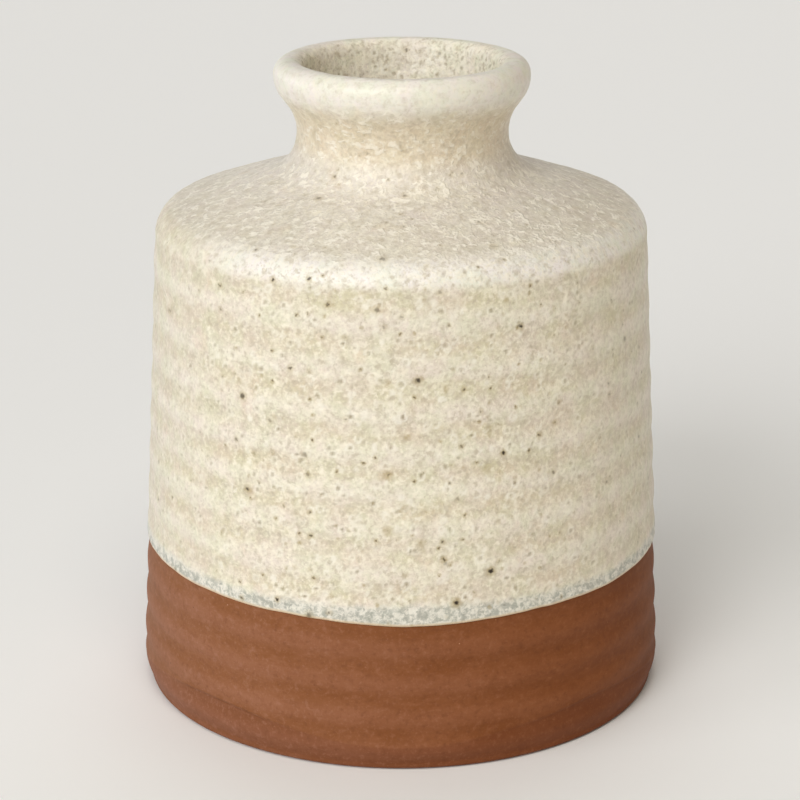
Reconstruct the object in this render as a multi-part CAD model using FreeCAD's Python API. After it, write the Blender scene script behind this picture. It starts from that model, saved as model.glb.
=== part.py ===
import FreeCAD, Part
import math
import os

# A wheel-thrown stoneware vase: a straight-sided body on a trimmed foot, a sloping shoulder, a waisted
# neck and a rolled lip. Millimetres, +Z up, origin at the centre of the foot, on the surface it stands on.
# It is made of three pieces that touch face to face:
#   clay_body    the fired red clay, bare over the lowest quarter and underneath
#   outer_glaze  the cream coat it was dipped in, from the glaze line over the lip and into the mouth
#   liner_glaze  the same glaze poured inside, from the mouth down over the floor

# Heights above the surface that the vase stands on
FACET_TOP_Z = 5.5            # where the trimmed foot meets the wall
GLAZE_LINE_Z = 37.3          # lower edge of the outer coat
SHOULDER_Z = 119.5           # wall meets shoulder, before rounding
WAIST_TOP_Z = 142.9          # where the neck starts to flare into the lip
CLAY_TOP_Z = 155.8           # top of the clay lip
GLAZE_JOIN_Z = 148.0         # inside the mouth, where the outer coat meets the liner
FLOOR_Z = 9.0                # inside floor
RECESS_Z = 2.0               # underside inside the foot ring

# Radii of the clay, from the axis of turning
FOOT_EDGE_RADIUS = 64.1      # foot facet extended down to the table
FACET_RADIUS = 65.0          # widest part of the body, at the top of the facet
SHOULDER_RADIUS = 59.0       # wall meets shoulder, before rounding
WAIST_RADIUS = 24.95         # narrowest part of the neck
LIP_RADIUS = 30.25           # outside of the rolled lip
MOUTH_RADIUS = 24.65         # inside of the rolled lip
THROAT_RADIUS = 18.6         # mouth flare meets the inside of the shoulder, before rounding
FLOOR_RADIUS = 58.8          # inside wall meets floor, before rounding
RING_INNER_RADIUS = 54.5     # inside edge of the foot ring
RECESS_RADIUS = 53.5         # edge of the flat under the recess

# Slopes and thicknesses
SHOULDER_FALL = math.radians(18.4)    # shoulder below the horizontal
LIP_FLARE = math.radians(36.0)        # underside of the lip, from the vertical
SHOULDER_THICKNESS = 5.5
WALL_THICKNESS = 5.2
GLAZE_THICKNESS = 0.6

# Rounding radii of the clay where two straight stretches meet
FOOT_EDGE_ROUND = 1.5
FACET_ROUND = 10.0
SHOULDER_ROUND = 7.4
NECK_ROUND = 11.0
FLARE_ROUND = 12.0
LIP_UNDER_ROUND = 7.0
LIP_OUTER_ROUND = 3.0
LIP_INNER_ROUND = 2.4
THROAT_ROUND = 8.0
INNER_SHOULDER_ROUND = 6.0
FLOOR_ROUND = 8.0
RING_ROUND = 0.8
GLAZE_EDGE_ROUND = 0.4

AXIS = FreeCAD.Vector(0, 0, 1)
ORIGIN = FreeCAD.Vector(0, 0, 0)
FULL_TURN = 360.0


def at(radius, height):
    """A point of the half section, in the XZ plane."""
    return FreeCAD.Vector(radius, 0, height)


def direction(start, end):
    """Unit direction from one (radius, height) corner to the next."""
    step = (end[0] - start[0], end[1] - start[1])
    length = math.hypot(*step)
    return step[0] / length, step[1] / length


def left_turn(before, after):
    """Signed turn between two directions, in radians, positive to the left."""
    cross = before[0] * after[1] - before[1] * after[0]
    dot = before[0] * after[0] + before[1] * after[1]
    return math.atan2(cross, dot)


def rounded_path(corners):
    """Edges along (radius, height, rounding) corners: straight runs joined by tangent arcs."""
    edges = []
    start = at(*corners[0][:2])
    for last, here, following in zip(corners, corners[1:], corners[2:]):
        before, after = direction(last, here), direction(here, following)
        turn = left_turn(before, after)
        rounding = here[2]
        reach = rounding * math.tan(abs(turn) / 2)
        arc_start = at(here[0] - reach * before[0], here[1] - reach * before[1])
        arc_end = at(here[0] + reach * after[0], here[1] + reach * after[1])
        edges.append(Part.LineSegment(start, arc_start).toShape())
        if rounding > 0:
            towards = (after[0] - before[0], after[1] - before[1])
            size = math.hypot(*towards)
            sagitta = rounding / math.cos(turn / 2) - rounding
            middle = at(here[0] + sagitta * towards[0] / size, here[1] + sagitta * towards[1] / size)
            edges.append(Part.Arc(arc_start, middle, arc_end).toShape())
        start = arc_end
    edges.append(Part.LineSegment(start, at(*corners[-1][:2])).toShape())
    return edges


def coated(corners, thickness):
    """The same corners moved out to their right by a coat's thickness, with each rounding kept parallel."""
    directions = [direction(a, b) for a, b in zip(corners, corners[1:])]
    normals = [(dz, -dr) for dr, dz in directions]
    first, last = corners[0], corners[-1]
    moved = [(first[0] + thickness * normals[0][0], first[1] + thickness * normals[0][1], 0)]
    for here, before, after, normal in zip(corners[1:], directions, directions[1:], normals):
        turn = left_turn(before, after)
        slip = thickness * math.tan(turn / 2)
        moved.append((
            here[0] + thickness * normal[0] + slip * before[0],
            here[1] + thickness * normal[1] + slip * before[1],
            here[2] + math.copysign(thickness, turn),
        ))
    moved.append((last[0] + thickness * normals[-1][0], last[1] + thickness * normals[-1][1], 0))
    return moved


def turned(edges):
    """The solid that a closed half section makes when it turns about the vase's axis."""
    section = Part.Face(Part.Wire(Part.__sortEdges__(edges)))
    return section.revolve(ORIGIN, AXIS, FULL_TURN)


def shoulder_height(radius, depth):
    """Height of the shoulder's surface at a radius, a depth below its outside."""
    return SHOULDER_Z + (SHOULDER_RADIUS - radius) * math.tan(SHOULDER_FALL) - depth / math.cos(SHOULDER_FALL)


def wall_radius(height):
    """Radius of the clay wall's outside at a height."""
    share = (height - FACET_TOP_Z) / (SHOULDER_Z - FACET_TOP_Z)
    return FACET_RADIUS + share * (SHOULDER_RADIUS - FACET_RADIUS)


def mouth_radius(height):
    """Radius of the inside of the mouth at a height, between the throat and the lip."""
    throat_z = shoulder_height(THROAT_RADIUS, SHOULDER_THICKNESS)
    share = (height - throat_z) / (CLAY_TOP_Z - throat_z)
    return THROAT_RADIUS + share * (MOUTH_RADIUS - THROAT_RADIUS)


def foot_corners():
    """Underside, from the axis out over the foot ring and up the trimmed facet."""
    return [
        (0, RECESS_Z, 0),
        (RECESS_RADIUS, RECESS_Z, RING_ROUND),
        (RING_INNER_RADIUS, 0, RING_ROUND),
        (FOOT_EDGE_RADIUS, 0, FOOT_EDGE_ROUND),
        (FACET_RADIUS, FACET_TOP_Z, FACET_ROUND),
    ]


def upper_corners():
    """Outside above the glaze line: shoulder, neck and over the lip into the mouth."""
    lip_under_z = WAIST_TOP_Z + (LIP_RADIUS - WAIST_RADIUS) / math.tan(LIP_FLARE)
    return [
        (SHOULDER_RADIUS, SHOULDER_Z, SHOULDER_ROUND),
        (WAIST_RADIUS, shoulder_height(WAIST_RADIUS, 0), NECK_ROUND),
        (WAIST_RADIUS, WAIST_TOP_Z, FLARE_ROUND),
        (LIP_RADIUS, lip_under_z, LIP_UNDER_ROUND),
        (LIP_RADIUS, CLAY_TOP_Z, LIP_OUTER_ROUND),
        (MOUTH_RADIUS, CLAY_TOP_Z, LIP_INNER_ROUND),
    ]


def inner_corners():
    """Inside, from the throat under the shoulder and down the wall to the middle of the floor."""
    inner_radius = SHOULDER_RADIUS - WALL_THICKNESS
    return [
        (THROAT_RADIUS, shoulder_height(THROAT_RADIUS, SHOULDER_THICKNESS), THROAT_ROUND),
        (inner_radius, shoulder_height(inner_radius, SHOULDER_THICKNESS), INNER_SHOULDER_ROUND),
        (FLOOR_RADIUS, FLOOR_Z, FLOOR_ROUND),
        (0, FLOOR_Z, 0),
    ]


def clay_body():
    """The fired clay, one thrown and trimmed piece."""
    outline = rounded_path(foot_corners() + upper_corners() + inner_corners())
    axis_edge = Part.LineSegment(at(0, FLOOR_Z), at(0, RECESS_Z)).toShape()
    return turned(outline + [axis_edge])


def outer_glaze():
    """The dipped coat, with a rounded lower edge standing proud of the bare clay."""
    line = (wall_radius(GLAZE_LINE_Z), GLAZE_LINE_Z, 0)
    join = (mouth_radius(GLAZE_JOIN_Z), GLAZE_JOIN_Z, 0)
    clay_side = [line] + upper_corners() + [join]
    outside = coated(clay_side, GLAZE_THICKNESS)
    outside[0] = outside[0][:2] + (GLAZE_EDGE_ROUND,)
    return turned(rounded_path([line] + outside + [join]) + rounded_path(clay_side))


def liner_glaze():
    """The poured coat inside, from the mouth down to the middle of the floor."""
    join = (mouth_radius(GLAZE_JOIN_Z), GLAZE_JOIN_Z, 0)
    clay_side = [join] + inner_corners()
    inside = coated(clay_side, GLAZE_THICKNESS)
    axis_edge = Part.LineSegment(at(0, FLOOR_Z), at(0, FLOOR_Z + GLAZE_THICKNESS)).toShape()
    return turned(rounded_path([join] + inside) + rounded_path(clay_side) + [axis_edge])


def main():
    os.makedirs("parts", exist_ok=True)
    pieces = {"clay_body": clay_body, "outer_glaze": outer_glaze, "liner_glaze": liner_glaze}
    for name, make in pieces.items():
        solid = make()
        solid.exportStep("parts/" + name + ".step")
        box = solid.BoundBox
        print(name, solid.ShapeType, "valid", solid.isValid(), "volume", round(solid.Volume / 1000, 2), "cm3",
              "height", round(box.ZMin, 2), "to", round(box.ZMax, 2), "width", round(box.XLength, 2))


main()
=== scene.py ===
import math

import bpy
import numpy as np
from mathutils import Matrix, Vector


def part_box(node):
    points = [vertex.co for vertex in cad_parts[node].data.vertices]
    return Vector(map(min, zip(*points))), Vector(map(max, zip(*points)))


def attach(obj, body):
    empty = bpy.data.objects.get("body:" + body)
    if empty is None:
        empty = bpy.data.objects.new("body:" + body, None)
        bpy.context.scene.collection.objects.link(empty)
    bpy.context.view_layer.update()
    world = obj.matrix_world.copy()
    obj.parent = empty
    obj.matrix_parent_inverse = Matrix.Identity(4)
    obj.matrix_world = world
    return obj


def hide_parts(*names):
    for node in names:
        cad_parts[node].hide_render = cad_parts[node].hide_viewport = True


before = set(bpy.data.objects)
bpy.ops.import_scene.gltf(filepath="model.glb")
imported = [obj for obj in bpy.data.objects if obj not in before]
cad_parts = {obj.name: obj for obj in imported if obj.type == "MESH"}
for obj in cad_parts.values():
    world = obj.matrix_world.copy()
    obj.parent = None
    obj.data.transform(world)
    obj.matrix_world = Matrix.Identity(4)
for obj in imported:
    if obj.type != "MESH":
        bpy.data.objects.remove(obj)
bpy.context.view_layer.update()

# A wheel-thrown stoneware vase. Each CAD piece is replaced by a finely turned mesh on the same
# outline: the clay with its throwing rings and trimmed foot, and the two coats of glaze with their
# real relief. Blender works in metres; lengths are written as millimetres times MM. The front of
# the vase faces -Y.
MM = 0.001

# --- Outline of the clay: heights and thicknesses from the frame, the rest as in the CAD model ----
_, CLAY_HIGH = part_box("clay_body")
COAT_LOW, COAT_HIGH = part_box("outer_glaze")
LINER_LOW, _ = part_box("liner_glaze")
GLAZE_LINE_Z = COAT_LOW.z
CLAY_TOP_Z = CLAY_HIGH.z
COAT = COAT_HIGH.z - CLAY_HIGH.z
FLOOR_Z = LINER_LOW.z
FACET_TOP_Z = 5.5 * MM
SHOULDER_Z = 119.5 * MM
WAIST_TOP_Z = 142.9 * MM
GLAZE_JOIN_Z = 148.0 * MM
RECESS_Z = 2.0 * MM
FOOT_EDGE_RADIUS = 64.1 * MM
FACET_RADIUS = 65.0 * MM
SHOULDER_RADIUS = 59.0 * MM
WAIST_RADIUS = 24.95 * MM
LIP_RADIUS = 30.25 * MM
MOUTH_RADIUS = 24.65 * MM
THROAT_RADIUS = 18.6 * MM
FLOOR_RADIUS = 58.8 * MM
RING_INNER_RADIUS = 54.5 * MM
RECESS_RADIUS = 53.5 * MM
SHOULDER_FALL = math.radians(18.4)
LIP_FLARE = math.radians(36.0)
SHOULDER_THICKNESS = 5.5 * MM
WALL_THICKNESS = 5.2 * MM

# --- Relief of the clay ---------------------------------------------------------------------------
RING_CRESTS = [z * MM for z in (-4, 5, 13.5, 22, 30.5, 40, 49.5, 60, 69, 77.5, 87, 97, 108, 118)]
RING_HEIGHT = 0.13 * MM              # a throwing ring's crest above the mean wall
RING_VARIETY = 0.5                   # share by which that height varies round the wall
BARE_RING_GAIN = 0.4                 # share by which it is more where no glaze fills the rings
RING_WANDER = 0.5 * MM               # how far a ring rises and falls round the wall
RINGS_FADE = (111 * MM, 117 * MM)    # heights over which the rings end, below the shoulder
WOBBLE = 0.16 * MM                   # how far the hand-thrown form leaves a true circle
NECK_LEAN = 0.35 * MM                # the neck stands this far off the body's axis
LIP_LEAN_BACK = 0.6                  # share of the neck's lean that the lip loses again
SHOULDER_TILT = 0.35 * MM            # the shoulder stands this much higher on the right
TRIM_DEPTH = 0.55 * MM               # how far the trimming tool cut in at the foot
TRIM_LEDGE = 0.42 * MM               # the ledge it left at the top of its cut
TRIM_TOP = 6.0 * MM                  # height of that ledge at its low places
TRIM_RISE = 4.8 * MM                 # how much higher it is between them
BARE_SWELL = 0.2 * MM                # how far the bare wall stands outside the true outline
LEFT_SWELL = 0.2 * MM                # how much further it does at the far left
CHATTER = 0.035 * MM                 # the tool's chatter marks on the bare wall
GRAIN = 0.012 * MM                   # the bare clay's sandy grain

# --- Relief of the glaze --------------------------------------------------------------------------
PEEL_HEIGHT = 0.105 * MM             # the glaze's orange-peel bumps
PIT_DEPTH = 0.11 * MM                # the deepest of its pinholed dimples
PIT_PITCH = 1.9 * MM                 # their spacing
PIT_RIM = 0.35                       # height of a dimple's rim, as a share of its depth
LINE_WAVE = 0.32 * MM                # the glaze line's slow waves
LINE_RAGGED = 0.10 * MM              # its fine unevenness
FRONT_DIP = 0.85 * MM                # how far it dips near the front
BEAD = 0.06 * MM                     # the thicker bead just above the coat's edge
EDGE_ROUND = 0.55 * MM               # height over which that edge is rounded
EDGE_RISE = 2.2 * MM                 # height above the glaze line where the mesh is at its finest
BAND_WIDER = 1.5 * MM                # how much wider the blue-grey band is near the front
OVERLAP = 1.6 * MM                   # how far the outer coat runs on behind the liner
COAT_EMBED = 0.2 * MM                # how deep the coat's hidden back lies in the clay
LINER_EMBED = 0.1 * MM               # and the liner's

# --- Mesh density ---------------------------------------------------------------------------------
COAT_AROUND, CLAY_AROUND, LINER_AROUND = 960, 720, 360
EDGE_STEP, BARE_STEP, COAT_STEP, HIDDEN_STEP = 0.12 * MM, 0.30 * MM, 0.45 * MM, 5.0 * MM
FOOT_STEP, THROAT_STEP, LINER_STEP = 1.2 * MM, 0.6 * MM, 1.6 * MM
THROAT_END = 30 * MM                 # radius out to which the inside shows through the mouth
OUTLINE_STEP = 0.1 * MM


# ==================================================================================================
# Noise on points, in numpy, so that the relief is the same on every run
# ==================================================================================================
def cell_value(cell, seed):
    """A repeatable value from 0 to 1 for each integer cell."""
    mixed = (cell[..., 0] * 374761393 + cell[..., 1] * 668265263 + cell[..., 2] * 2246822519
             + seed * 3266489917) & 0xFFFFFFFF
    mixed = ((mixed ^ (mixed >> 13)) * 1274126177) & 0xFFFFFFFF
    mixed = ((mixed ^ (mixed >> 16)) * 2654435769) & 0xFFFFFFFF
    return (mixed ^ (mixed >> 15)) / float(0xFFFFFFFF)


def soft_noise(points, size, seed):
    """Smooth noise from -1 to 1 whose bumps are about `size` across."""
    scaled = points / size
    base = np.floor(scaled).astype(np.int64)
    part = scaled - base
    part = part * part * part * (part * (part * 6 - 15) + 10)
    total = np.zeros(points.shape[:-1])
    for corner in np.ndindex(2, 2, 2):
        weight = np.ones_like(total)
        for axis in range(3):
            weight *= part[..., axis] if corner[axis] else 1 - part[..., axis]
        total += weight * cell_value(base + np.array(corner), seed)
    return total * 2 - 1


def nearest_cell(points, size, seed):
    """Distance to the nearest of points scattered about `size` apart, and that point's own value
    from 0 to 1."""
    scaled = points / size
    base = np.floor(scaled).astype(np.int64)
    nearest = np.full(points.shape[:-1], np.inf)
    own = np.zeros(points.shape[:-1])
    for offset in np.ndindex(3, 3, 3):
        cell = base + (np.array(offset) - 1)
        centre = cell + np.stack([cell_value(cell, seed + axis) for axis in range(3)], axis=-1)
        distance = np.linalg.norm(scaled - centre, axis=-1)
        closer = distance < nearest
        nearest = np.where(closer, distance, nearest)
        own = np.where(closer, cell_value(cell, seed + 3), own)
    return nearest * size, own


def smooth_step(low, high, value):
    """0 up to low and 1 from high on. Low may be above high, and then it falls."""
    share = np.clip((value - low) / (high - low), 0, 1)
    return share * share * (3 - 2 * share)


def hump(value, centre, width):
    """A bell curve, 1 at its centre."""
    return np.exp(-((value - centre) / width) ** 2)


# ==================================================================================================
# Outlines: corners of (radius, height, rounding), as the half section is drawn in the CAD model
# ==================================================================================================
def shoulder_height(radius, depth=0.0):
    """Height of the shoulder at a radius, a depth below its outside."""
    rise = (SHOULDER_RADIUS - radius) * math.tan(SHOULDER_FALL)
    return SHOULDER_Z + rise - depth / math.cos(SHOULDER_FALL)


def wall_radius(height):
    """Radius of the clay wall's outside at a height."""
    share = (height - FACET_TOP_Z) / (SHOULDER_Z - FACET_TOP_Z)
    return FACET_RADIUS + share * (SHOULDER_RADIUS - FACET_RADIUS)


def mouth_radius(height):
    """Radius of the inside of the mouth at a height."""
    throat_z = shoulder_height(THROAT_RADIUS, SHOULDER_THICKNESS)
    share = (height - throat_z) / (CLAY_TOP_Z - throat_z)
    return THROAT_RADIUS + share * (MOUTH_RADIUS - THROAT_RADIUS)


FOOT_CORNERS = [
    (0.0, RECESS_Z, 0.0),
    (RECESS_RADIUS, RECESS_Z, 0.8 * MM),
    (RING_INNER_RADIUS, 0.0, 0.8 * MM),
    (FOOT_EDGE_RADIUS, 0.0, 1.5 * MM),
    (FACET_RADIUS, FACET_TOP_Z, 10.0 * MM),
]
UPPER_CORNERS = [
    (SHOULDER_RADIUS, SHOULDER_Z, 7.4 * MM),
    (WAIST_RADIUS, shoulder_height(WAIST_RADIUS), 11.0 * MM),
    (WAIST_RADIUS, WAIST_TOP_Z, 12.0 * MM),
    (LIP_RADIUS, WAIST_TOP_Z + (LIP_RADIUS - WAIST_RADIUS) / math.tan(LIP_FLARE), 7.0 * MM),
    (LIP_RADIUS, CLAY_TOP_Z, 3.0 * MM),
    (MOUTH_RADIUS, CLAY_TOP_Z, 2.4 * MM),
]
INNER_RADIUS = SHOULDER_RADIUS - WALL_THICKNESS
INNER_CORNERS = [
    (THROAT_RADIUS, shoulder_height(THROAT_RADIUS, SHOULDER_THICKNESS), 8.0 * MM),
    (INNER_RADIUS, shoulder_height(INNER_RADIUS, SHOULDER_THICKNESS), 6.0 * MM),
    (FLOOR_RADIUS, FLOOR_Z, 8.0 * MM),
    (0.0, FLOOR_Z, 0.0),
]
LINE_CORNER = (wall_radius(GLAZE_LINE_Z), GLAZE_LINE_Z, 0.0)
JOIN_CORNER = (mouth_radius(GLAZE_JOIN_Z), GLAZE_JOIN_Z, 0.0)


def left_turn(before, after):
    """Angle turned to the left from one direction to the next."""
    return math.atan2(before[0] * after[1] - before[1] * after[0], before @ after)


def unit(vector):
    return vector / np.linalg.norm(vector)


def outline(corners):
    """Closely spaced (radius, height) points along rounded corners."""
    points = [np.array(corners[0][:2])]
    for last, (*here, rounding), following in zip(corners, corners[1:], corners[2:]):
        corner = np.array(here)
        before = unit(corner - np.array(last[:2]))
        after = unit(np.array(following[:2]) - corner)
        turn = left_turn(before, after)
        start = corner - rounding * math.tan(abs(turn) / 2) * before
        centre = start + rounding * math.copysign(1, turn) * np.array([-before[1], before[0]])
        spoke = start - centre
        steps = max(2, int(rounding * abs(turn) / OUTLINE_STEP))
        for angle in turn * np.linspace(0, 1, steps):
            turned = np.array([spoke[0] * math.cos(angle) - spoke[1] * math.sin(angle),
                               spoke[0] * math.sin(angle) + spoke[1] * math.cos(angle)])
            points.append(centre + turned)
    points.append(np.array(corners[-1][:2]))
    return np.array(points)


def stations(points, spacing):
    """The outline again, with its points `spacing(point)` apart."""
    lengths = np.linalg.norm(np.diff(points, axis=0), axis=1)
    along = np.concatenate([[0], np.cumsum(lengths)])
    fine = np.linspace(0, along[-1], int(along[-1] / OUTLINE_STEP) + 2)
    dense = np.stack([np.interp(fine, along, points[:, k]) for k in range(2)], axis=1)
    gap = np.array([spacing(p) for p in dense])
    count = np.concatenate([[0], np.cumsum(np.diff(fine) / ((gap[1:] + gap[:-1]) / 2))])
    places = np.interp(np.linspace(0, count[-1], int(round(count[-1])) + 1), count, fine)
    return np.stack([np.interp(places, fine, dense[:, k]) for k in range(2)], axis=1)


def outward(points):
    """Unit normals of an outline, to the right of its direction."""
    step = np.gradient(points, axis=0)
    step /= np.linalg.norm(step, axis=1, keepdims=True)
    return np.stack([step[:, 1], -step[:, 0]], axis=1)


# ==================================================================================================
# Turning an outline into a surface
# ==================================================================================================
def turned_grid(section, normals, count):
    """Points and unit normals of the surface, as arrays [station, step around, xyz], and the angle
    of each step around."""
    angle = np.arange(count) * 2 * math.pi / count - math.pi / 2
    wheel = np.stack([np.cos(angle), np.sin(angle)], axis=1)

    def spin(pair):
        flat = pair[:, None, 0, None] * wheel[None]
        tall = np.broadcast_to(pair[:, None, 1, None], flat.shape[:2] + (1,))
        return np.concatenate([flat, tall], axis=2)

    return spin(section), spin(normals), angle


def throwing_rings(height):
    """The throwing rings at a height up the wall, from -1 in a groove to 1 on a crest."""
    turns = np.interp(height, RING_CRESTS, np.arange(len(RING_CRESTS)))
    return np.cos(2 * math.pi * turns)


def thrown(points, normals):
    """Moves turned points as the potter's hands left them: rings up the wall, a slight wobble, a
    leaning neck and a shoulder that isn't quite level."""
    height = points[..., 2]
    radius = np.hypot(points[..., 0], points[..., 1])
    on_wall = smooth_step(INNER_RADIUS, INNER_RADIUS + 3 * MM, radius)
    on_wall = on_wall * (1 - smooth_step(*RINGS_FADE, height))
    strength = 1 + RING_VARIETY * soft_noise(points * (1, 1, 2.5), size=40 * MM, seed=11)
    strength = strength + BARE_RING_GAIN * (height < GLAZE_LINE_Z)
    wander = RING_WANDER * soft_noise(points, size=26 * MM, seed=5)
    rings = RING_HEIGHT * on_wall * strength * throwing_rings(height + wander)
    wobble = WOBBLE * soft_noise(points * (1, 1, 0.5), size=45 * MM, seed=3)
    wobble = wobble * smooth_step(2 * MM, 20 * MM, height)
    moved = points + normals * (rings + wobble)[..., None]
    lean = smooth_step(SHOULDER_Z, WAIST_TOP_Z - 12 * MM, height)
    lean = lean - LIP_LEAN_BACK * smooth_step(WAIST_TOP_Z, CLAY_TOP_Z, height)
    moved[..., 0] += NECK_LEAN * lean
    on_shoulder = smooth_step(114 * MM, 122 * MM, height) * smooth_step(140 * MM, 128 * MM, height)
    to_right = np.clip(points[..., 0] / SHOULDER_RADIUS, 0, 1)
    moved[..., 2] += SHOULDER_TILT * on_shoulder * to_right
    return moved


def half_map(count):
    """The texture map holds half a turn across its width, with the other half above it. Gives, for
    each step around, which half it is in and how far across the map it starts and ends."""
    here = np.arange(count)
    half = np.where(here < count // 2, 0, 1)
    start = (here - half * (count // 2)) / (count / 2)
    return half, start, start + 2 / count


def wall_faces(lower, upper, uv_rows, first_row, count):
    """Quads between each lower station and its upper one, and their corners' places on the map."""
    here = np.arange(count)
    after = (here + 1) % count
    quads = np.stack([
        lower[:, None] * count + here, lower[:, None] * count + after,
        upper[:, None] * count + after, upper[:, None] * count + here,
    ], axis=2).reshape(-1, 4)
    half, u_here, u_after = half_map(count)
    v_lower = uv_rows[lower + first_row]
    v_upper = uv_rows[(lower + first_row + 1) % len(uv_rows)]
    shape = (len(lower), count)
    corners = (u_here, v_lower), (u_after, v_lower), (u_after, v_upper), (u_here, v_upper)
    places = [np.stack([np.broadcast_to(u, shape), (half + v[:, None]) / 2], axis=2)
              for u, v in corners]
    return quads, np.stack(places, axis=2).reshape(-1, 2)


def pole_faces(stations_count, uv_rows, count):
    """Triangles that close both ends of an open surface on the axis, and their map places."""
    start_pole = (stations_count - 2) * count
    end_pole = start_pole + 1
    last_row = start_pole - count
    half, u_here, u_after = half_map(count)
    faces, places = [], []
    for i in range(count):
        after = (i + 1) % count
        faces += [(start_pole, after, i), (end_pole, last_row + i, last_row + after)]
        start, low, high, end = ((half[i] + uv_rows[k]) / 2 for k in (0, 1, -2, -1))
        places += [(u_here[i], start), (u_after[i], low), (u_here[i], low)]
        places += [(u_here[i], end), (u_here[i], high), (u_after[i], high)]
    return np.array(faces), np.array(places)


def make_mesh(name, rings, closed, uv_rows):
    """A smooth mesh from rings of points [station, step, xyz]. A closed section joins its last ring
    to its first; an open one starts and ends on the axis. uv_rows gives each station's place up the
    map, from 0 to 1."""
    count = rings.shape[1]
    if closed:
        points = rings.reshape(-1, 3)
        lower = np.arange(len(rings))
        upper = (lower + 1) % len(rings)
    else:
        poles = [rings[0].mean(0)[None], rings[-1].mean(0)[None]]
        points = np.concatenate([rings[1:-1].reshape(-1, 3)] + poles)
        lower = np.arange(len(rings) - 3)
        upper = lower + 1
    quads, uvs = wall_faces(lower, upper, uv_rows, 0 if closed else 1, count)
    corners = quads.ravel()
    sides = np.full(len(quads), 4)
    if not closed:
        fans, fan_uvs = pole_faces(len(rings), uv_rows, count)
        corners = np.concatenate([corners, fans.ravel()])
        sides = np.concatenate([sides, np.full(len(fans), 3)])
        uvs = np.concatenate([uvs, fan_uvs])
    mesh = bpy.data.meshes.new(name)
    mesh.vertices.add(len(points))
    mesh.vertices.foreach_set("co", points.astype(np.float32).ravel())
    mesh.loops.add(len(corners))
    mesh.loops.foreach_set("vertex_index", corners.astype(np.int32))
    mesh.polygons.add(len(sides))
    starts = np.concatenate([[0], np.cumsum(sides)[:-1]])
    mesh.polygons.foreach_set("loop_start", starts.astype(np.int32))
    layer = mesh.uv_layers.new(name="OFBake")
    layer.data.foreach_set("uv", uvs.astype(np.float32).ravel())
    mesh.update(calc_edges=True)
    mesh.validate()
    mesh.shade_smooth()
    piece = bpy.data.objects.new(name, mesh)
    bpy.context.scene.collection.objects.link(piece)
    return piece


def add_attributes(piece, **values):
    """Floats on each vertex, for the material to read."""
    for name, numbers in values.items():
        flat = np.zeros(len(piece.data.vertices), np.float32)
        flat[:numbers.size] = numbers.ravel()
        attribute = piece.data.attributes.new(name, "FLOAT", "POINT")
        attribute.data.foreach_set("value", flat)


def map_rows(section, shown):
    """Place of each station up the texture map: the shown stretch takes nearly all of it."""
    hidden_share, margin = 0.02, 0.004
    step = np.linalg.norm(np.diff(section, axis=0), axis=1)
    weight = np.where(shown[:-1] & shown[1:], 1.0, hidden_share)
    along = np.concatenate([[0], np.cumsum(step * weight)])
    return margin + (1 - 2 * margin) * along / along[-1]


# ==================================================================================================
# The glaze line, shared by the clay and the coat
# ==================================================================================================
def from_front(angle):
    """Degrees round from the front, which is at -90 degrees, from -180 to 180."""
    return (np.degrees(angle) + 270) % 360 - 180


def round_wheel(angle, radius):
    """Points on a level circle."""
    return np.stack([np.cos(angle), np.sin(angle), 0 * angle], axis=-1) * radius


def line_wave(angle):
    """How far the glaze line stands above or below its mean height, round the vase."""
    wheel = round_wheel(angle, wall_radius(GLAZE_LINE_Z))
    slow = LINE_WAVE * soft_noise(wheel, size=34 * MM, seed=21)
    ragged = LINE_RAGGED * soft_noise(wheel, size=4.5 * MM, seed=22)
    return slow + ragged - FRONT_DIP * hump(from_front(angle), 6, 20)


# ==================================================================================================
# Pieces
# ==================================================================================================
def trim_height(angle):
    """Height of the ledge above the trimmed foot, which dips to four low places round the vase."""
    wheel = round_wheel(angle, FACET_RADIUS)
    dug_in = np.sin(2 * np.radians(from_front(angle))) ** 2
    return TRIM_TOP + TRIM_RISE * dug_in + 0.5 * MM * soft_noise(wheel, size=18 * MM, seed=31)


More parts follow.
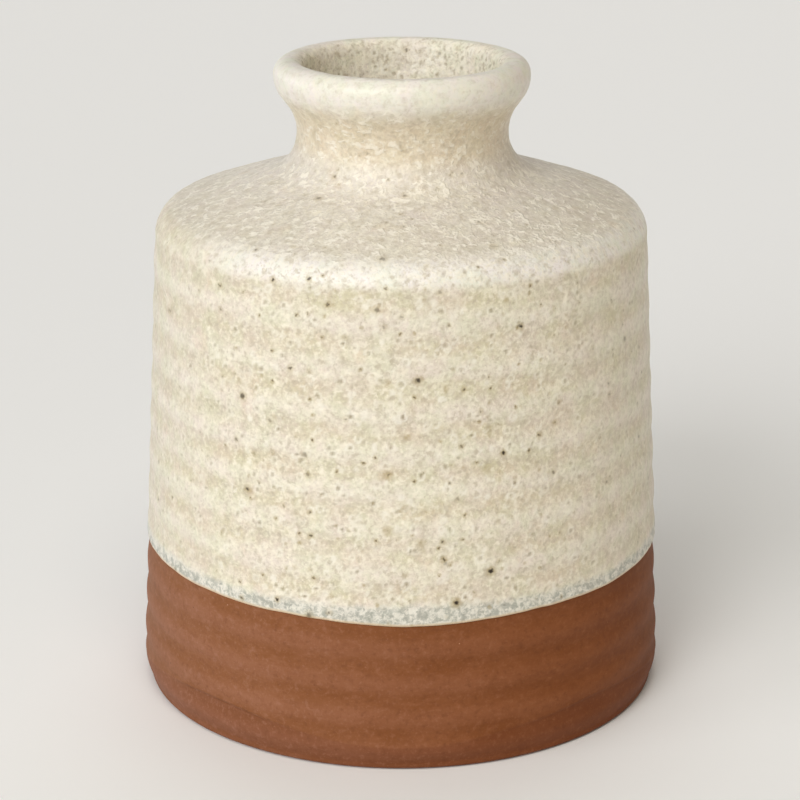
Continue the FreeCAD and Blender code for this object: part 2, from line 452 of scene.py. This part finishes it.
def make_clay():
    """The clay from the middle of the underside up the outside, over the lip and down inside."""
    recess_top = RECESS_Z + 0.1 * MM

    def spacing(point):
        radius, height = point
        outside = radius > wall_radius(height) - 2 * MM and height < SHOULDER_Z
        if outside and height < GLAZE_LINE_Z + 2 * MM:
            return BARE_STEP
        return FOOT_STEP if height < recess_top else HIDDEN_STEP

    section = stations(outline(FOOT_CORNERS + UPPER_CORNERS + INNER_CORNERS), spacing)
    points, normals, angle = turned_grid(section, outward(section), CLAY_AROUND)
    moved = thrown(points, normals)
    height = points[..., 2]
    outside = np.hypot(points[..., 0], points[..., 1]) > RING_INNER_RADIUS + 6 * MM
    bare = outside * smooth_step(0.2 * MM, 2.0 * MM, height)

    # The trimmed foot and the ledge above it, which is plainest on the left.
    top = trim_height(angle)[None]
    up_the_cut = smooth_step(0, 1, height / top)
    side = from_front(angle)[None]
    ledge = 0.22 + hump(side, -43, 15) + 0.4 * hump(side, 40, 22)
    ledge = ledge + 0.2 * soft_noise(points, size=30 * MM, seed=32)
    ledge = ledge * smooth_step(0.35 * MM, -0.25 * MM, height - top) * up_the_cut ** 0.5
    trimmed = TRIM_DEPTH * (1 - up_the_cut) * outside + TRIM_LEDGE * ledge

    swell = BARE_SWELL + LEFT_SWELL * smooth_step(45, 90, -side)
    swell = swell * smooth_step(GLAZE_LINE_Z + MM, GLAZE_LINE_Z - 2 * MM, height)
    chatter = CHATTER * soft_noise(moved * (1, 1, 4), size=8 * MM, seed=33)
    grain = GRAIN * soft_noise(moved, size=0.9 * MM, seed=34)
    moved += normals * ((swell - trimmed - chatter - grain) * bare)[..., None]

    bare_wall = (section[:, 1] < GLAZE_LINE_Z + 2 * MM) & (section[:, 0] > FLOOR_RADIUS)
    shown = bare_wall | (section[:, 1] < recess_top)
    piece = make_mesh("thrown_clay", moved, False, map_rows(section, shown))
    # Where the trimmed facet lies below the ledge; the clay material paints it darker as painted
    # shade on its down-facing slope.
    facet = smooth_step(0.4 * MM, -0.4 * MM, height - top) * outside
    add_attributes(piece, ring=throwing_rings(moved[1:-1, :, 2]), facet=facet[1:-1])
    return piece


def coat_relief(points, inside):
    """Relief of the fired glaze in metres: orange peel over soft runs, with dimples. It is calm on
    the lip and at the sides, less dimpled on the shoulder and neck, and coarse inside the mouth,
    where `inside` is 1. Also gives, from 0 to 1, how deep in a dimple each point is, how near a
    dimple's rim, and how lively the texture is there."""
    height = points[..., 2]
    side = np.abs(from_front(np.arctan2(points[..., 1], points[..., 0])))
    on_lip = smooth_step(146 * MM, 150 * MM, height) * (1 - inside)
    on_top = smooth_step(118 * MM, 123 * MM, height) * (1 - inside)
    calm_sides = smooth_step(25, 60, side) * smooth_step(130, 100, side) * (1 - inside)
    lively = (1 - 0.5 * on_lip) * (1 - 0.30 * calm_sides)
    dimpled = lively ** 2 * (1 - 0.65 * on_top) * (1 - 0.7 * on_lip) * (1 + 0.15 * inside)

    shake = [soft_noise(points, size=1.3 * MM, seed=44 + axis) for axis in range(3)]
    shaken = points + 0.35 * MM * np.stack(shake, axis=-1)
    distance, own = nearest_cell(shaken, PIT_PITCH, seed=51)
    out = distance / ((0.42 + 0.30 * own) * MM)
    strength = own ** (3.5 - inside)
    pit = (1 - smooth_step(0.15, 1.0, out)) * (0.08 + 0.92 * strength) * dimpled
    rim = hump(out, 1.35, 0.4) * strength * dimpled

    peel = 0.62 * soft_noise(points, size=2.1 * MM, seed=41)
    peel = peel + 0.38 * soft_noise(points, size=1.15 * MM, seed=42)
    runs = 0.5 * soft_noise(points * (1, 1, 0.45), size=7 * MM, seed=43)
    peel_height = PEEL_HEIGHT * lively * (1 + 0.6 * inside)
    return peel_height * (peel + runs) - PIT_DEPTH * (pit - PIT_RIM * rim), pit, rim, lively


def make_coat():
    """The dipped coat: a shell from the glaze line, over the lip, just past the join inside the
    mouth and back."""
    overlap_z = GLAZE_JOIN_Z - OVERLAP
    overlap_corner = (mouth_radius(overlap_z), overlap_z, 0.0)
    clay_side = outline([LINE_CORNER] + UPPER_CORNERS + [overlap_corner])

    def spacing(point):
        at_line = point[1] - GLAZE_LINE_Z < EDGE_RISE
        at_join = point[0] < MOUTH_RADIUS and point[1] < GLAZE_JOIN_Z + 0.2 * MM
        return EDGE_STEP if at_line or at_join else COAT_STEP

    # Thickness: a rounded edge with a bead above it, and an inner end tucked behind the liner.
    under = stations(clay_side, spacing)
    outside = under[:, 0] > INNER_RADIUS
    rise = under[:, 1] - GLAZE_LINE_Z
    round_edge = np.sqrt(np.clip(1 - (1 - np.clip(rise / EDGE_ROUND, 0, 1)) ** 2, 0, 1))
    edge = np.where(outside, round_edge, 1)
    thickness = COAT * edge + BEAD * hump(rise, 1.1 * MM, 0.8 * MM) * outside
    over = 0.02 * MM * smooth_step(GLAZE_JOIN_Z + 2 * MM, GLAZE_JOIN_Z, under[:, 1])
    tuck = 0.35 * MM * smooth_step(overlap_z + 0.9 * MM, overlap_z, under[:, 1])
    thickness += (over - tuck) * (under[:, 0] < MOUTH_RADIUS)

    back = stations(clay_side[::-1], lambda point: HIDDEN_STEP)
    base = np.concatenate([under, back])
    base_normals = np.concatenate([outward(under), -outward(back)])
    depth = np.concatenate([thickness, np.full(len(back), -COAT_EMBED)])[:, None]
    points, spun_normals, angle = turned_grid(base, base_normals, COAT_AROUND)
    wave = line_wave(angle)[None]
    near_line = smooth_step(GLAZE_LINE_Z + 14 * MM, GLAZE_LINE_Z, points[..., 2])
    on_wall = np.hypot(points[..., 0], points[..., 1]) > INNER_RADIUS
    points[..., 2] += wave * near_line * on_wall
    moved = thrown(points, spun_normals)

    past_crown = np.arange(len(base)) > np.argmax(under[:, 1])
    in_mouth = smooth_step(MOUTH_RADIUS + 2.2 * MM, MOUTH_RADIUS - 0.2 * MM, base[:, 0])
    inside = (past_crown * in_mouth)[:, None]
    relief, pit, rim, lively = coat_relief(moved, inside)
    fade = np.concatenate([smooth_step(0, 1, edge), np.zeros(len(back))])[:, None]
    moved = moved + spun_normals * (depth + relief * fade)[..., None]

    shown = np.arange(len(base)) < len(under)
    piece = make_mesh("dipped_glaze", moved, True, map_rows(base + base_normals * depth, shown))
    gap = moved[..., 2] - GLAZE_LINE_Z - wave
    wider = BAND_WIDER * hump(from_front(angle), 4, 17)
    add_attributes(piece, line_gap=gap / MM, band_gap=(gap - wider) / MM,
                   ring=throwing_rings(moved[..., 2]), pit=pit, rim=rim, lively=lively,
                   inside=np.broadcast_to(inside, lively.shape))
    return piece


def make_liner():
    """The poured coat inside, from the join in the mouth down over the floor, closed against the
    clay."""
    clay_side = outline([JOIN_CORNER] + INNER_CORNERS)

    def spacing(point):
        in_throat = point[1] > SHOULDER_Z and point[0] < THROAT_END
        return THROAT_STEP if in_throat else LINER_STEP

    front = stations(clay_side, spacing)[::-1]
    back = stations(clay_side, lambda point: HIDDEN_STEP)
    base = np.concatenate([front, back])
    normals = np.concatenate([-outward(front), outward(back)])
    depth = np.concatenate([np.full(len(front), COAT), np.full(len(back), -LINER_EMBED)])
    points, spun_normals, _ = turned_grid(base, normals, LINER_AROUND)
    moved = thrown(points, spun_normals)
    relief, pit, rim, lively = coat_relief(moved, np.ones((1, 1)))
    relief[len(front):] = 0
    relief[0] = relief[0].mean()
    moved = moved + spun_normals * (depth[:, None] + relief)[..., None]
    shown = np.arange(len(base)) < len(front)
    piece = make_mesh("poured_liner", moved, False, map_rows(base, shown))
    everywhere = np.ones(moved[1:-1].shape[:2])
    far_above = everywhere * GLAZE_JOIN_Z / MM
    add_attributes(piece, line_gap=far_above, band_gap=far_above, ring=0 * everywhere,
                   pit=pit[1:-1], rim=rim[1:-1], lively=lively[1:-1], inside=everywhere)
    return piece


# ==================================================================================================
# Materials
# ==================================================================================================
def linear(red, green, blue):
    """A colour given in 0 to 255 screen values, as Blender's linear values."""
    return tuple(((c / 255 + 0.055) / 1.055) ** 2.4 for c in (red, green, blue))


class Shader:
    """A material's node tree, with short calls for the nodes used here. Sizes are in mm."""

    def __init__(self, name):
        self.material = bpy.data.materials.new(name)
        self.material.use_nodes = True
        self.tree = self.material.node_tree
        self.surface = self.tree.nodes["Principled BSDF"]
        place = self.tree.nodes.new("ShaderNodeTexCoord")
        self.place = self.vector("SCALE", place.outputs["Object"], scale=1 / MM)

    def put(self, socket, value):
        """Links a socket to another one, or sets it to a plain number or colour."""
        if isinstance(value, bpy.types.NodeSocket):
            self.tree.links.new(value, socket)
        elif isinstance(value, tuple) and socket.type == "RGBA":
            socket.default_value = (*value, 1)
        else:
            socket.default_value = value

    def vector(self, operation, a, b=None, scale=None):
        node = self.tree.nodes.new("ShaderNodeVectorMath")
        node.operation = operation
        self.put(node.inputs[0], a)
        if b is not None:
            self.put(node.inputs[1], b)
        if scale is not None:
            node.inputs["Scale"].default_value = scale
        return node.outputs["Vector"]

    def math(self, operation, a, b=0.0):
        node = self.tree.nodes.new("ShaderNodeMath")
        node.operation = operation
        self.put(node.inputs[0], a)
        self.put(node.inputs[1], b)
        return node.outputs[0]

    def product(self, first, *others):
        for other in others:
            first = self.math("MULTIPLY", first, other)
        return first

    def total(self, first, *others):
        for other in others:
            first = self.math("ADD", first, other)
        return first

    def less(self, share, strength):
        """1 where the share is 0, falling to 1 - strength where it is 1."""
        return self.math("SUBTRACT", 1.0, self.product(share, strength))

    def noise_node(self, size, detail, rough, place, seed):
        node = self.tree.nodes.new("ShaderNodeTexNoise")
        node.noise_dimensions = "4D"
        self.put(node.inputs["Vector"], place or self.place)
        node.inputs["W"].default_value = seed
        node.inputs["Scale"].default_value = 1 / size
        node.inputs["Detail"].default_value = detail
        node.inputs["Roughness"].default_value = rough
        return node

    def noise(self, size, detail, rough, place=None, *, seed):
        return self.noise_node(size, detail, rough, place, seed).outputs["Fac"]

    def shaken(self, size, amount, seed):
        """The place moved about by noise, so that round shapes come out irregular."""
        colours = self.noise_node(size, 1.0, 0.5, None, seed).outputs["Color"]
        centred = self.vector("SUBTRACT", colours, (0.5, 0.5, 0.5))
        return self.vector("ADD", self.place, self.vector("SCALE", centred, scale=amount))

    def cells(self, size, place, seed):
        """Distance in millimetres to the nearest of points scattered about size apart, and that
        point's own number from 0 to 1."""
        node = self.tree.nodes.new("ShaderNodeTexVoronoi")
        node.voronoi_dimensions = "3D"
        moved = self.vector("ADD", place or self.place, (seed, seed * 1.7, seed * 0.6))
        self.put(node.inputs["Vector"], moved)
        node.inputs["Scale"].default_value = 1 / size
        own = self.tree.nodes.new("ShaderNodeSeparateColor")
        self.tree.links.new(node.outputs["Color"], own.inputs[0])
        return self.product(node.outputs["Distance"], size), own.outputs[0]

    def between(self, value, low, high, smooth=True):
        """0 below low, 1 above high. Low may be above high, and then it falls."""
        node = self.tree.nodes.new("ShaderNodeMapRange")
        node.interpolation_type = "SMOOTHSTEP" if smooth else "LINEAR"
        self.put(node.inputs["Value"], value)
        rises = low < high
        for name, number in (("From Min", min(low, high)), ("From Max", max(low, high)),
                             ("To Min", 0.0 if rises else 1.0), ("To Max", 1.0 if rises else 0.0)):
            node.inputs[name].default_value = number
        return node.outputs["Result"]

    def zone(self, value, start, full, fading, end):
        """A stretch that rises from start to full and falls from fading to end."""
        return self.product(self.between(value, start, full), self.between(value, end, fading))

    def mix(self, share, a, b, blend="MIX"):
        node = self.tree.nodes.new("ShaderNodeMix")
        node.data_type = "RGBA"
        node.blend_type = blend
        for name, value in (("Factor", share), (6, a), (7, b)):
            self.put(node.inputs[name], value)
        return node.outputs[2]

    def paint(self, colour, tone, *shares):
        """A tone, in 0 to 255 screen values, laid over a colour by the product of the shares."""
        return self.mix(self.product(*shares), colour, linear(*tone))

    def attribute(self, name):
        node = self.tree.nodes.new("ShaderNodeAttribute")
        node.attribute_name = name
        return node.outputs["Fac"]

    def part(self, axis):
        """One coordinate of the place, in millimetres: "Z" is height above the table, "X" runs to
        the right."""
        node = self.tree.nodes.new("ShaderNodeSeparateXYZ")
        self.tree.links.new(self.place, node.inputs[0])
        return node.outputs[axis]

    def bump(self, height, distance):
        node = self.tree.nodes.new("ShaderNodeBump")
        node.inputs["Strength"].default_value = 1.0
        node.inputs["Distance"].default_value = distance * MM
        self.put(node.inputs["Height"], height)
        self.put(self.surface.inputs["Normal"], node.outputs["Normal"])


# Heights in millimetres at which each zone of the glaze starts, is full, begins to fade and ends.
NECK_ZONE = (131.0, 138.0, 144.0, 149.0)
SHOULDER_ZONE = (119.0, 121.0, 130.0, 138.0)
COLLAR_ZONE = (123.0, 128.0, 132.0, 138.0)
BEND_ZONE = (114.5, 117.5, 119.5, 122.5)
ABOVE_WALL = (118.0, 122.0, 147.0, 152.0)
LIP_START, LIP_FULL = 146.5, 151.0
BEND_WHITENS = (-56.0, -32.0)        # X in millimetres over which the bend's paint turns from tan painted shade to white painted highlight
# Iron specks: spacing and radius in millimetres, the least cell value that gives one, seed, depth.
IRON_SPECKS = (
    (2.9, 0.28, 0.25, 23.0, 0.65),
    (4.3, 0.44, 0.38, 37.0, 0.95),
    (8.0, 0.68, 0.40, 51.0, 1.0),
)
# Grog in the clay: spacing and radius in millimetres, seed, colour.
GROG = ((4.5, 0.20, 13.0, (202, 152, 116)), (6.5, 0.24, 29.0, (84, 46, 30)))


class Glaze(Shader):
    """Cream stoneware glaze: clouds of whiter and yellower glaze, curdled and dimpled, and speckled
    with iron. Each method that takes a colour returns it with one more layer of detail."""

    def __init__(self, name):
        super().__init__(name)
        self.height = self.part("Z")
        self.lively, self.inside = self.attribute("lively"), self.attribute("inside")
        self.rim, self.pit = self.attribute("rim"), self.attribute("pit")
        self.outside = self.math("SUBTRACT", 1.0, self.inside)
        self.wandering = self.shaken(1.2, 1.6, seed=3.0)
        self.neck = self.zone(self.height, *NECK_ZONE)
        self.lip = self.product(self.between(self.height, LIP_START, LIP_FULL), self.outside)
        self.on_top = self.product(self.zone(self.height, *ABOVE_WALL), self.outside)
        self.curd = self.noise(1.7, 2.0, 0.6, self.wandering, seed=7.5)
        self.fine = self.noise(0.95, 3.0, 0.6, seed=8.5)
        network = self.noise(2.8, 1.0, 0.5, self.wandering, seed=4.0)
        network = self.math("ABSOLUTE", self.math("SUBTRACT", network, 0.5))
        patchy = self.between(self.noise(4.0, 2.0, 0.5, seed=4.5), 0.36, 0.64)
        self.strands = self.product(self.between(network, 0.12, 0.0), patchy)
        stretched = self.vector("MULTIPLY", self.wandering, (0.8, 0.8, 1.2))
        self.flakes = self.noise(1.45, 1.6, 0.55, stretched, seed=9.5)
        # Painted highlight: flakes on the shoulder and neck, raised in the bump and painted white
        # as the glints on them.
        self.raised_flake_highlight = self.product(self.between(self.flakes, 0.51, 0.66), self.on_top,
                                  self.less(self.neck, 0.2))

    def zones(self):
        """Broad clouds, painted highlight on the crests of the throwing rings, the tan neck, the
        greyer shoulder with its paler collar, the bend painted as a highlight that turns to painted
        shade at the far left, the white lip, and the inside painted paler as fill light against its
        shade."""
        flat = self.vector("MULTIPLY", self.place, (1.0, 1.0, 2.6))
        clouds = self.between(self.noise(15.0, 3.0, 0.55, flat, seed=1.0), 0.36, 0.64)
        colour = self.mix(clouds, linear(213, 201, 174), linear(214, 204, 183))
        uneven = self.product(self.noise(6.0, 4.0, 0.7, flat, seed=2.0), 2.2)
        # Painted highlight: the crests of the throwing rings are painted whiter, where their upper
        # faces catch the light from above.
        painted_crest_light = self.between(self.total(self.attribute("ring"), uneven), 0.2, 2.4)
        colour = self.paint(colour, (232, 225, 210), painted_crest_light, 0.72)
        colour = self.paint(colour, (222, 202, 168), self.neck, 0.55)
        shoulder = self.zone(self.height, *SHOULDER_ZONE)
        colour = self.paint(colour, (216, 207, 195), shoulder, 0.60)
        collar = self.zone(self.height, *COLLAR_ZONE)
        colour = self.paint(colour, (226, 219, 212), collar, 0.65)
        # Painted light on the shoulder's bend: a white painted highlight from the front round to
        # the right, turning to tan painted shade at the far left.
        bend = self.zone(self.height, *BEND_ZONE)
        from_left = self.between(self.part("X"), *BEND_WHITENS)
        painted_bend_light = self.mix(from_left, linear(208, 196, 170), linear(244, 243, 239))
        colour = self.mix(self.product(bend, 0.72), colour, painted_bend_light)
        colour = self.paint(colour, (240, 237, 229), self.lip, 0.75)
        # Painted light: the glaze inside the mouth is painted paler, as fill light against the
        # shade inside it.
        return self.paint(colour, (232, 228, 214), self.inside, 0.50)

    def blushes(self, colour):
        """Blotches, rust and olive blushes, and a drift from greenish to pinkish."""
        blotches = self.noise(3.2, 3.0, 0.6, seed=5.5)
        colour = self.paint(colour, (240, 232, 213), self.between(blotches, 0.52, 0.70), 0.38)
        colour = self.paint(colour, (200, 189, 165), self.between(blotches, 0.48, 0.32), 0.30)
        rust = self.between(self.noise(7.0, 2.0, 0.5, seed=5.0), 0.60, 0.74)
        colour = self.paint(colour, (218, 188, 150), rust, 0.22)
        olive = self.between(self.noise(4.5, 3.0, 0.6, seed=6.0), 0.58, 0.74)
        colour = self.paint(colour, (200, 193, 155), olive, 0.24)
        drift = self.between(self.noise(6.5, 3.0, 0.65, self.wandering, seed=6.5), 0.34, 0.66)
        tint = self.mix(drift, (0.975, 1.016, 0.950), (1.022, 0.984, 1.025))
        return self.mix(self.less(self.on_top, 0.65), colour, tint, "MULTIPLY")

    def texture(self, colour):
        """Curdled texture: paler streaks and grains with darker hollows between, partly the glaze's
        own mottling and partly painted light and shade on the relief that the same noise raises;
        the dimples and their rims; and white flakes standing proud on the shoulder and neck,
        painted as highlights, with painted shade in the hollows between them."""
        contrast = self.product(self.lively, self.less(self.on_top, 0.25),
                                self.total(1.0, self.product(self.inside, 0.4)))
        # The curd and fine tones are partly the glaze's own mottling and partly painted light and
        # shade: paler where the bump raises the surface, darker in its hollows.
        for share, strength, tone in (
            (self.strands, 0.45, (245, 238, 219)),
            (self.between(self.curd, 0.47, 0.31), 0.60, (190, 178, 156)),
            (self.between(self.curd, 0.54, 0.69), 0.60, (247, 239, 219)),
            (self.between(self.fine, 0.50, 0.68), 0.55, (247, 239, 220)),
            (self.between(self.fine, 0.50, 0.33), 0.45, (192, 180, 159)),
        ):
            colour = self.paint(colour, tone, share, strength, contrast)
        colour = self.paint(colour, (244, 239, 225), self.rim, 0.8)
        colour = self.paint(colour, (134, 120, 90), self.pit, 0.85)
        # Painted highlight on the raised flakes, then painted shade in the hollows between them.
        colour = self.paint(colour, (251, 245, 231), self.raised_flake_highlight, 0.70)
        shaded_hollow = self.product(self.between(self.flakes, 0.46, 0.32), self.on_top)
        return self.paint(colour, (186, 174, 153), shaded_hollow, 0.30)

    def thin_edge(self, colour):
        """The thin edge over the clay: blue-grey and white mottling, then a narrow peach lip."""
        gap = self.attribute("line_gap")
        uneven = self.product(self.noise(2.6, 3.0, 0.6, seed=7.0), 2.4)
        ragged = self.total(self.attribute("band_gap"), uneven)
        band = self.product(self.between(ragged, 5.9, 3.7), self.between(gap, 0.3, 1.2))
        spots = self.between(self.noise(1.5, 3.0, 0.75, self.wandering, seed=7.2), 0.38, 0.62)
        mottled = self.mix(spots, linear(229, 226, 215), linear(157, 160, 151))
        distance, own = self.cells(1.3, self.wandering, seed=71.0)
        dot = self.product(self.between(distance, 0.42, 0.16), self.between(own, 0.60, 0.95))
        mottled = self.paint(mottled, (118, 114, 102), dot, 0.7)
        colour = self.mix(self.product(band, 0.82), colour, mottled)
        return self.paint(colour, (214, 188, 152), self.between(gap, 1.1, 0.2), 0.85)

    def specks(self, colour):
        """Iron specks of three sizes, each with its own depth of colour and an olive stain.
        They are fewer inside, on the shoulder and neck, on the lip and at the calm sides."""
        place = self.shaken(0.7, 1.0, seed=12.0)
        amount = self.total(self.product(self.between(self.lively, 0.78, 1.0), 0.65), 0.45)
        for where, fewer in ((self.inside, 0.5), (self.on_top, 0.45), (self.lip, 0.85)):
            amount = self.product(amount, self.less(where, fewer))
        for spacing, radius, least, seed, depth in IRON_SPECKS:
            distance, own = self.cells(spacing, place, seed)
            kept = self.product(self.between(own, least, 1.0), amount)
            stain = self.between(distance, radius * 3.0, radius * 0.6)
            core = self.between(distance, radius * 1.3, radius * 0.4)
            colour = self.paint(colour, (164, 143, 90), stain, kept, 0.6)
            colour = self.paint(colour, (44, 32, 15), core, kept, depth)
        return colour

    def finish(self):
        """The whole glaze, with its uneven satin gloss and its finest relief."""
        colour = self.specks(self.thin_edge(self.texture(self.blushes(self.zones()))))
        self.put(self.surface.inputs["Base Color"], colour)
        gloss = self.product(self.noise(6.0, 2.0, 0.5, seed=8.0), 0.24)
        roughness = self.total(gloss, 0.26, self.product(self.pit, 0.2))
        self.put(self.surface.inputs["Roughness"], roughness)
        self.surface.inputs["IOR"].default_value = 1.5
        grains = self.product(self.noise(0.6, 2.0, 0.55, seed=9.0), 0.4)
        relief = self.total(self.product(self.curd, 2.0), grains, self.product(self.fine, 1.4))
        self.bump(self.total(self.product(relief, self.lively), self.product(self.strands, 0.25),
                             self.product(self.raised_flake_highlight, 1.2)), 0.10)
        return self.material


def clay_material():
    """Bare red stoneware clay: matte, faintly clouded and ringed, with fine grog. It is painted
    paler on the left than on the right, as painted light from the left and painted shade on the
    right, with painted highlight on its ring crests and painted shade on the trimmed facet."""
    s = Shader("red_clay_bare")
    flat = s.vector("MULTIPLY", s.place, (1.0, 1.0, 1.7))
    clouds = s.between(s.noise(15.0, 3.0, 0.55, flat, seed=1.0), 0.34, 0.66)
    colour = s.mix(clouds, linear(128, 73, 33), linear(136, 81, 44))
    uneven = s.noise(12.0, 2.0, 0.5, flat, seed=5.0)
    # Painted highlight: the crests of the throwing rings are painted lighter, where their upper
    # faces catch the light.
    rings = s.between(s.total(s.attribute("ring"), uneven), -0.3, 1.6)
    lines = s.noise(2.4, 3.0, 0.6, s.vector("MULTIPLY", s.place, (0.7, 0.7, 1.9)), seed=2.0)
    patches = s.noise(1.5, 2.0, 0.55, seed=6.0)
    grain = s.noise(0.6, 2.0, 0.6, seed=3.0)
    for share, strength, tone in (
        (rings, 0.30, (154, 99, 68)),
        (s.between(lines, 0.50, 0.70), 0.28, (152, 97, 64)),
        (s.between(lines, 0.50, 0.30), 0.26, (114, 62, 30)),
        # Painted shade on the down-facing trimmed facet.
        (s.attribute("facet"), 0.38, (110, 57, 31)),
        (s.between(patches, 0.46, 0.28), 0.40, (109, 59, 28)),
        (s.between(patches, 0.54, 0.72), 0.32, (158, 106, 75)),
        (s.between(grain, 0.52, 0.75), 0.26, (166, 113, 82)),
        (s.between(grain, 0.45, 0.25), 0.26, (105, 56, 27)),
    ):
        colour = s.paint(colour, tone, share, strength)
    for spacing, radius, seed, tone in GROG:
        distance, own = s.cells(spacing, None, seed)
        spot = s.product(s.between(distance, radius, radius * 0.4), s.between(own, 0.6, 0.65))
        colour = s.paint(colour, tone, spot, 0.7)
    # Painted light and shade: paler and pinker towards the left, where the light comes from, and
    # darker and browner towards the right.
    painted_light_across = s.total(s.part("X"), s.product(s.noise(24.0, 2.0, 0.5, seed=8.0), 24.0))
    to_left = s.between(painted_light_across, 60.0, -46.0, smooth=False)
    tint = s.mix(to_left, (0.83, 0.72, 0.52), (1.11, 1.32, 1.85))
    s.put(s.surface.inputs["Base Color"], s.mix(1.0, colour, tint, "MULTIPLY"))
    s.put(s.surface.inputs["Roughness"], s.total(s.product(grain, 0.16), 0.58))
    s.surface.inputs["IOR"].default_value = 1.45
    s.surface.inputs["Specular IOR Level"].default_value = 0.28
    s.bump(s.total(s.product(grain, 0.6), s.product(lines, 0.8)), 0.05)
    return s.material


# ==================================================================================================
# Studio
# ==================================================================================================
FLOOR_HALF = 8.0                     # metres from the middle of the floor to its edge
FLOOR_GREY, FLOOR_ROUGHNESS = 0.93, 0.9
CAMERA_PLACE = (-0.0003, -0.600, 0.2701)
CAMERA_DOWN = 18.43                  # degrees below the horizontal
CAMERA_LENS, CAMERA_SENSOR = 114.05, 36.0
ROOM_BAND = (0.08, 0.30)             # sine of the elevation over which the room's walls give way
WALL_GLOW, CEILING_GLOW = 0.80, 0.10
WARM_SIDE = (-0.2, 0.8)              # from neutral on the left to warm on the right
WARM_WALL = (0.80, 0.70, 0.56)
WHITE = (1, 1, 1)
# Each sun's azimuth runs in degrees from the front round to the right; then come its elevation, its
# softness (both in degrees), its strength and its colour.
SUNS = {
    "window_light": (-30.0, 30.0, 30.0, 1.30, WHITE),
    "side_light": (-62.0, 30.0, 30.0, 0.50, WHITE),
    "edge_light": (-112.0, 5.0, 25.0, 0.22, (0.90, 0.97, 1.10)),
    "warm_fill": (75.0, 12.0, 40.0, 0.14, (1.0, 0.72, 0.38)),
    "ceiling_light": (0.0, 60.0, 40.0, 0.97, (1.0, 0.96, 0.85)),
    "back_light": (180.0, 60.0, 40.0, 0.48, WHITE),
}


def make_floor():
    mesh = bpy.data.meshes.new("studio_floor")
    corners = [(x * FLOOR_HALF, y * FLOOR_HALF, 0) for x, y in ((-1, -1), (1, -1), (1, 1), (-1, 1))]
    mesh.from_pydata(corners, [], [(0, 1, 2, 3)])
    floor = bpy.data.objects.new("studio_floor", mesh)
    bpy.context.scene.collection.objects.link(floor)
    material = bpy.data.materials.new("pale_floor")
    material.use_nodes = True
    surface = material.node_tree.nodes["Principled BSDF"]
    surface.inputs["Base Color"].default_value = (FLOOR_GREY, FLOOR_GREY, FLOOR_GREY, 1)
    surface.inputs["Roughness"].default_value = FLOOR_ROUGHNESS
    mesh.materials.append(material)


def make_sun(name, azimuth, elevation, softness, strength, colour):
    """A distant soft light."""
    data = bpy.data.lights.new(name, "SUN")
    data.angle = math.radians(softness)
    data.energy = strength
    data.color = colour
    light = bpy.data.objects.new(name, data)
    light.rotation_euler = (math.radians(90 - elevation), 0, math.radians(azimuth))
    bpy.context.scene.collection.objects.link(light)


def make_camera():
    """A close view from the front, looking down a little."""
    data = bpy.data.cameras.new("camera")
    data.sensor_width = CAMERA_SENSOR
    data.lens = CAMERA_LENS
    camera = bpy.data.objects.new("camera", data)
    camera.location = CAMERA_PLACE
    camera.rotation_euler = (math.radians(90 - CAMERA_DOWN), 0, 0)
    bpy.context.scene.collection.objects.link(camera)
    bpy.context.scene.camera = camera


def make_world():
    """A dim room whose pale walls show as a bright band along the horizon, warmer on the right."""
    world = bpy.data.worlds.new("studio")
    world.use_nodes = True
    tree = world.node_tree
    direction = tree.nodes.new("ShaderNodeTexCoord")
    parts = tree.nodes.new("ShaderNodeSeparateXYZ")
    tree.links.new(direction.outputs["Generated"], parts.inputs[0])

    def ramp(value, start, end, first, last):
        node = tree.nodes.new("ShaderNodeMapRange")
        node.interpolation_type = "SMOOTHSTEP"
        tree.links.new(value, node.inputs["Value"])
        for name, number in (("From Min", start), ("From Max", end),
                             ("To Min", first), ("To Max", last)):
            node.inputs[name].default_value = number
        return node.outputs["Result"]

    tint = tree.nodes.new("ShaderNodeMix")
    tint.data_type = "RGBA"
    tree.links.new(ramp(parts.outputs["X"], *WARM_SIDE, 0.0, 1.0), tint.inputs["Factor"])
    tint.inputs[6].default_value = (*WHITE, 1)
    tint.inputs[7].default_value = (*WARM_WALL, 1)
    background = tree.nodes["Background"]
    tree.links.new(tint.outputs[2], background.inputs["Color"])
    glow = ramp(parts.outputs["Z"], *ROOM_BAND, WALL_GLOW, CEILING_GLOW)
    tree.links.new(glow, background.inputs["Strength"])
    bpy.context.scene.world = world


def make_studio():
    """Soft light as from a large window in front and to the left, with a pale floor."""
    make_floor()
    make_world()
    for name, settings in SUNS.items():
        make_sun(name, *settings)
    bpy.context.scene.view_settings.view_transform = "Standard"


# ==================================================================================================
make_camera()
finishes = (
    (make_clay(), "clay_body", "red_clay", clay_material()),
    (make_coat(), "outer_glaze", "cream_glaze", Glaze("cream_glaze_outside").finish()),
    (make_liner(), "liner_glaze", "liner_glaze", Glaze("cream_glaze_inside").finish()),
)
for piece, node, slot, material in finishes:
    piece.data.materials.append(material)
    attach(piece, "root")
    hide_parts(node)
make_studio()
